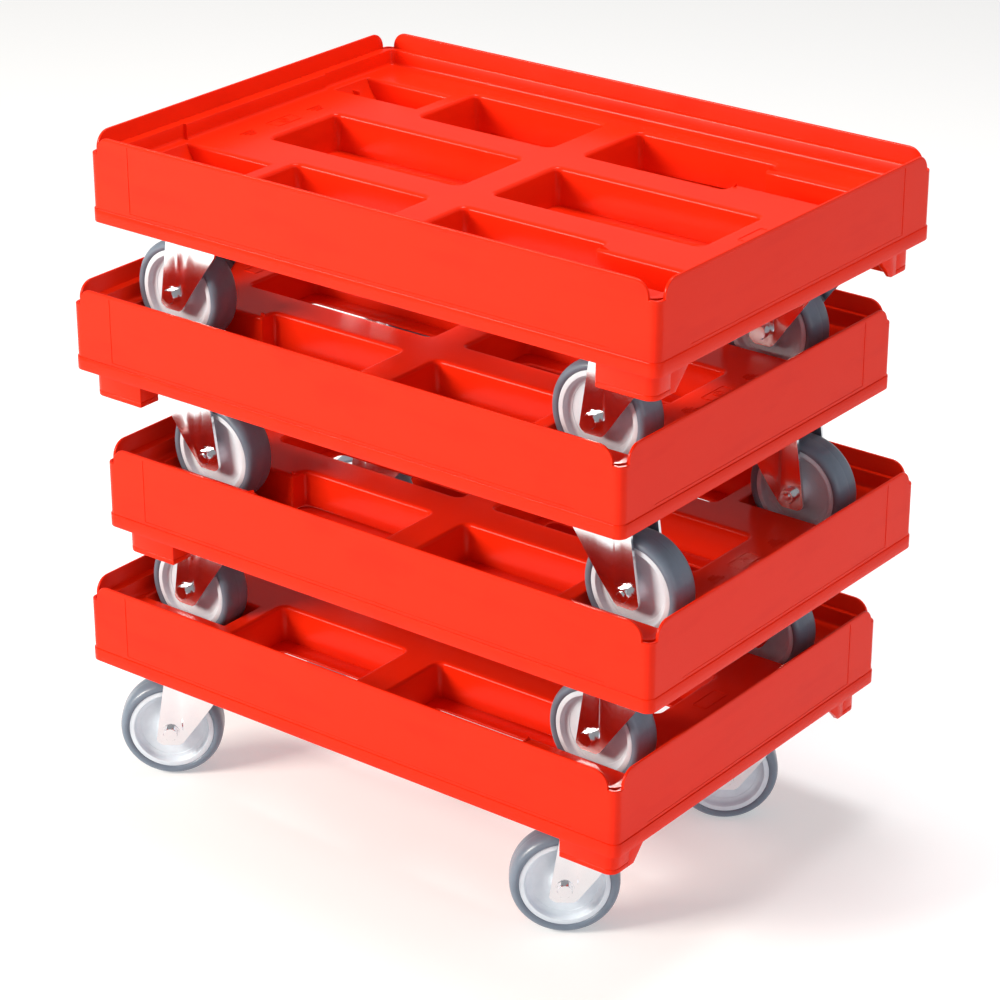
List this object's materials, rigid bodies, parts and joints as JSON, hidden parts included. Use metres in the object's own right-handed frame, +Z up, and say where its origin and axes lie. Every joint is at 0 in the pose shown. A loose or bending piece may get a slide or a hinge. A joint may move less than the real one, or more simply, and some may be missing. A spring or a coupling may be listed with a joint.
{
  "type": "box dolly stack",
  "caption": "Nested stack of open-deck plastic box dollies on swivel castors, each dolly's wheels parked in the wheel wells of the deck below.",
  "frame": {"origin": "on the floor under the middle of the stack", "axes": "+X along the long side, +Y along the short side away from the front long side, +Z up"},
  "size_m": [0.6535, 0.42, 0.6626],
  "materials": {
    "deck": "semi-gloss moulded ABS",
    "zinc": "bright zinc-plated pressed steel",
    "hub": "moulded polypropylene, light grey",
    "tyre": "matt blue-grey thermoplastic rubber"
  },
  "bodies": {
    "dolly_1": {"deck_1": "deck", "castor_plates_1": "zinc", "plate_screws_1": "zinc"},
    "swivel_1_front_left": {"fork_1_front_left": "zinc"},
    "wheel_1_front_left": {"hub_1_front_left": "hub", "tyre_1_front_left": "tyre"},
    "swivel_1_front_right": {"fork_1_front_right": "zinc"},
    "wheel_1_front_right": {"hub_1_front_right": "hub", "tyre_1_front_right": "tyre"},
    "swivel_1_back_left": {"fork_1_back_left": "zinc"},
    "wheel_1_back_left": {"hub_1_back_left": "hub", "tyre_1_back_left": "tyre"},
    "swivel_1_back_right": {"fork_1_back_right": "zinc"},
    "wheel_1_back_right": {"hub_1_back_right": "hub", "tyre_1_back_right": "tyre"},
    "dolly_2": {"deck_2": "deck", "castor_plates_2": "zinc", "plate_screws_2": "zinc"},
    "swivel_2_front_left": {"fork_2_front_left": "zinc"},
    "wheel_2_front_left": {"hub_2_front_left": "hub", "tyre_2_front_left": "tyre"},
    "swivel_2_front_right": {"fork_2_front_right": "zinc"},
    "wheel_2_front_right": {"hub_2_front_right": "hub", "tyre_2_front_right": "tyre"},
    "swivel_2_back_left": {"fork_2_back_left": "zinc"},
    "wheel_2_back_left": {"hub_2_back_left": "hub", "tyre_2_back_left": "tyre"},
    "swivel_2_back_right": {"fork_2_back_right": "zinc"},
    "wheel_2_back_right": {"hub_2_back_right": "hub", "tyre_2_back_right": "tyre"},
    "dolly_3": {"deck_3": "deck", "castor_plates_3": "zinc", "plate_screws_3": "zinc"},
    "swivel_3_front_left": {"fork_3_front_left": "zinc"},
    "wheel_3_front_left": {"hub_3_front_left": "hub", "tyre_3_front_left": "tyre"},
    "swivel_3_front_right": {"fork_3_front_right": "zinc"},
    "wheel_3_front_right": {"hub_3_front_right": "hub", "tyre_3_front_right": "tyre"},
    "swivel_3_back_left": {"fork_3_back_left": "zinc"},
    "wheel_3_back_left": {"hub_3_back_left": "hub", "tyre_3_back_left": "tyre"},
    "swivel_3_back_right": {"fork_3_back_right": "zinc"},
    "wheel_3_back_right": {"hub_3_back_right": "hub", "tyre_3_back_right": "tyre"},
    "dolly_4": {"deck_4": "deck", "castor_plates_4": "zinc", "plate_screws_4": "zinc"},
    "swivel_4_front_left": {"fork_4_front_left": "zinc"},
    "wheel_4_front_left": {"hub_4_front_left": "hub", "tyre_4_front_left": "tyre"},
    "swivel_4_front_right": {"fork_4_front_right": "zinc"},
    "wheel_4_front_right": {"hub_4_front_right": "hub", "tyre_4_front_right": "tyre"},
    "swivel_4_back_left": {"fork_4_back_left": "zinc"},
    "wheel_4_back_left": {"hub_4_back_left": "hub", "tyre_4_back_left": "tyre"},
    "swivel_4_back_right": {"fork_4_back_right": "zinc"},
    "wheel_4_back_right": {"hub_4_back_right": "hub", "tyre_4_back_right": "tyre"}
  },
  "joints": [
    {"name": "lift_2", "type": "slide", "parent": "dolly_1", "child": "dolly_2", "axis": [0, 0, 1], "range_m": [0, 0.08]},
    {"name": "lift_3", "type": "slide", "parent": "dolly_2", "child": "dolly_3", "axis": [0, 0, 1], "range_m": [0, 0.08]},
    {"name": "lift_4", "type": "slide", "parent": "dolly_3", "child": "dolly_4", "axis": [0, 0, 1], "range_m": [0, 0.08]},
    {"name": "turn_1_front_left", "type": "hinge", "parent": "dolly_1", "child": "swivel_1_front_left", "pos_m": [-0.254, -0.128, 0.116], "axis": [0, 0, 1], "continuous": true},
    {"name": "roll_1_front_left", "type": "hinge", "parent": "swivel_1_front_left", "child": "wheel_1_front_left", "pos_m": [-0.28115, -0.14846, 0.05], "axis": [0.6018, -0.7986, 0], "continuous": true},
    {"name": "turn_1_front_right", "type": "hinge", "parent": "dolly_1", "child": "swivel_1_front_right", "pos_m": [0.222, -0.128, 0.116], "axis": [0, 0, 1], "continuous": true},
    {"name": "roll_1_front_right", "type": "hinge", "parent": "swivel_1_front_right", "child": "wheel_1_front_right", "pos_m": [0.19485, -0.14846, 0.05], "axis": [0.6018, -0.7986, 0], "continuous": true},
    {"name": "turn_1_back_left", "type": "hinge", "parent": "dolly_1", "child": "swivel_1_back_left", "pos_m": [-0.254, 0.128, 0.116], "axis": [0, 0, 1], "continuous": true},
    {"name": "roll_1_back_left", "type": "hinge", "parent": "swivel_1_back_left", "child": "wheel_1_back_left", "pos_m": [-0.28115, 0.10754, 0.05], "axis": [0.6018, -0.7986, 0], "continuous": true},
    {"name": "turn_1_back_right", "type": "hinge", "parent": "dolly_1", "child": "swivel_1_back_right", "pos_m": [0.222, 0.128, 0.116], "axis": [0, 0, 1], "continuous": true},
    {"name": "roll_1_back_right", "type": "hinge", "parent": "swivel_1_back_right", "child": "wheel_1_back_right", "pos_m": [0.19485, 0.10754, 0.05], "axis": [0.6018, -0.7986, 0], "continuous": true},
    {"name": "turn_2_front_left", "type": "hinge", "parent": "dolly_2", "child": "swivel_2_front_left", "pos_m": [-0.222, -0.128, 0.2662], "axis": [0, 0, 1], "range_deg": [-4, 4]},
    {"name": "roll_2_front_left", "type": "hinge", "parent": "swivel_2_front_left", "child": "wheel_2_front_left", "pos_m": [-0.256, -0.128, 0.2002], "axis": [0, -1, 0], "continuous": true},
    {"name": "turn_2_front_right", "type": "hinge", "parent": "dolly_2", "child": "swivel_2_front_right", "pos_m": [0.254, -0.128, 0.2662], "axis": [0, 0, 1], "range_deg": [-4, 4]},
    {"name": "roll_2_front_right", "type": "hinge", "parent": "swivel_2_front_right", "child": "wheel_2_front_right", "pos_m": [0.22, -0.128, 0.2002], "axis": [0, -1, 0], "continuous": true},
    {"name": "turn_2_back_left", "type": "hinge", "parent": "dolly_2", "child": "swivel_2_back_left", "pos_m": [-0.222, 0.128, 0.2662], "axis": [0, 0, 1], "range_deg": [-4, 4]},
    {"name": "roll_2_back_left", "type": "hinge", "parent": "swivel_2_back_left", "child": "wheel_2_back_left", "pos_m": [-0.256, 0.128, 0.2002], "axis": [0, -1, 0], "continuous": true},
    {"name": "turn_2_back_right", "type": "hinge", "parent": "dolly_2", "child": "swivel_2_back_right", "pos_m": [0.254, 0.128, 0.2662], "axis": [0, 0, 1], "range_deg": [-4, 4]},
    {"name": "roll_2_back_right", "type": "hinge", "parent": "swivel_2_back_right", "child": "wheel_2_back_right", "pos_m": [0.22, 0.128, 0.2002], "axis": [0, -1, 0], "continuous": true},
    {"name": "turn_3_front_left", "type": "hinge", "parent": "dolly_3", "child": "swivel_3_front_left", "pos_m": [-0.254, -0.128, 0.4164], "axis": [0, 0, 1], "range_deg": [-4, 4]},
    {"name": "roll_3_front_left", "type": "hinge", "parent": "swivel_3_front_left", "child": "wheel_3_front_left", "pos_m": [-0.22, -0.128, 0.3504], "axis": [0, 1, 0], "continuous": true},
    {"name": "turn_3_front_right", "type": "hinge", "parent": "dolly_3", "child": "swivel_3_front_right", "pos_m": [0.222, -0.128, 0.4164], "axis": [0, 0, 1], "range_deg": [-4, 4]},
    {"name": "roll_3_front_right", "type": "hinge", "parent": "swivel_3_front_right", "child": "wheel_3_front_right", "pos_m": [0.256, -0.128, 0.3504], "axis": [0, 1, 0], "continuous": true},
    {"name": "turn_3_back_left", "type": "hinge", "parent": "dolly_3", "child": "swivel_3_back_left", "pos_m": [-0.254, 0.128, 0.4164], "axis": [0, 0, 1], "range_deg": [-4, 4]},
    {"name": "roll_3_back_left", "type": "hinge", "parent": "swivel_3_back_left", "child": "wheel_3_back_left", "pos_m": [-0.22, 0.128, 0.3504], "axis": [0, 1, 0], "continuous": true},
    {"name": "turn_3_back_right", "type": "hinge", "parent": "dolly_3", "child": "swivel_3_back_right", "pos_m": [0.222, 0.128, 0.4164], "axis": [0, 0, 1], "range_deg": [-4, 4]},
    {"name": "roll_3_back_right", "type": "hinge", "parent": "swivel_3_back_right", "child": "wheel_3_back_right", "pos_m": [0.256, 0.128, 0.3504], "axis": [0, 1, 0], "continuous": true},
    {"name": "turn_4_front_left", "type": "hinge", "parent": "dolly_4", "child": "swivel_4_front_left", "pos_m": [-0.222, -0.128, 0.5666], "axis": [0, 0, 1], "range_deg": [-4, 4]},
    {"name": "roll_4_front_left", "type": "hinge", "parent": "swivel_4_front_left", "child": "wheel_4_front_left", "pos_m": [-0.256, -0.128, 0.5006], "axis": [0, -1, 0], "continuous": true},
    {"name": "turn_4_front_right", "type": "hinge", "parent": "dolly_4", "child": "swivel_4_front_right", "pos_m": [0.254, -0.128, 0.5666], "axis": [0, 0, 1], "range_deg": [-4, 4]},
    {"name": "roll_4_front_right", "type": "hinge", "parent": "swivel_4_front_right", "child": "wheel_4_front_right", "pos_m": [0.22, -0.128, 0.5006], "axis": [0, -1, 0], "continuous": true},
    {"name": "turn_4_back_left", "type": "hinge", "parent": "dolly_4", "child": "swivel_4_back_left", "pos_m": [-0.222, 0.128, 0.5666], "axis": [0, 0, 1], "range_deg": [-4, 4]},
    {"name": "roll_4_back_left", "type": "hinge", "parent": "swivel_4_back_left", "child": "wheel_4_back_left", "pos_m": [-0.256, 0.128, 0.5006], "axis": [0, -1, 0], "continuous": true},
    {"name": "turn_4_back_right", "type": "hinge", "parent": "dolly_4", "child": "swivel_4_back_right", "pos_m": [0.254, 0.128, 0.5666], "axis": [0, 0, 1], "range_deg": [-4, 4]},
    {"name": "roll_4_back_right", "type": "hinge", "parent": "swivel_4_back_right", "child": "wheel_4_back_right", "pos_m": [0.22, 0.128, 0.5006], "axis": [0, -1, 0], "continuous": true}
  ]
}
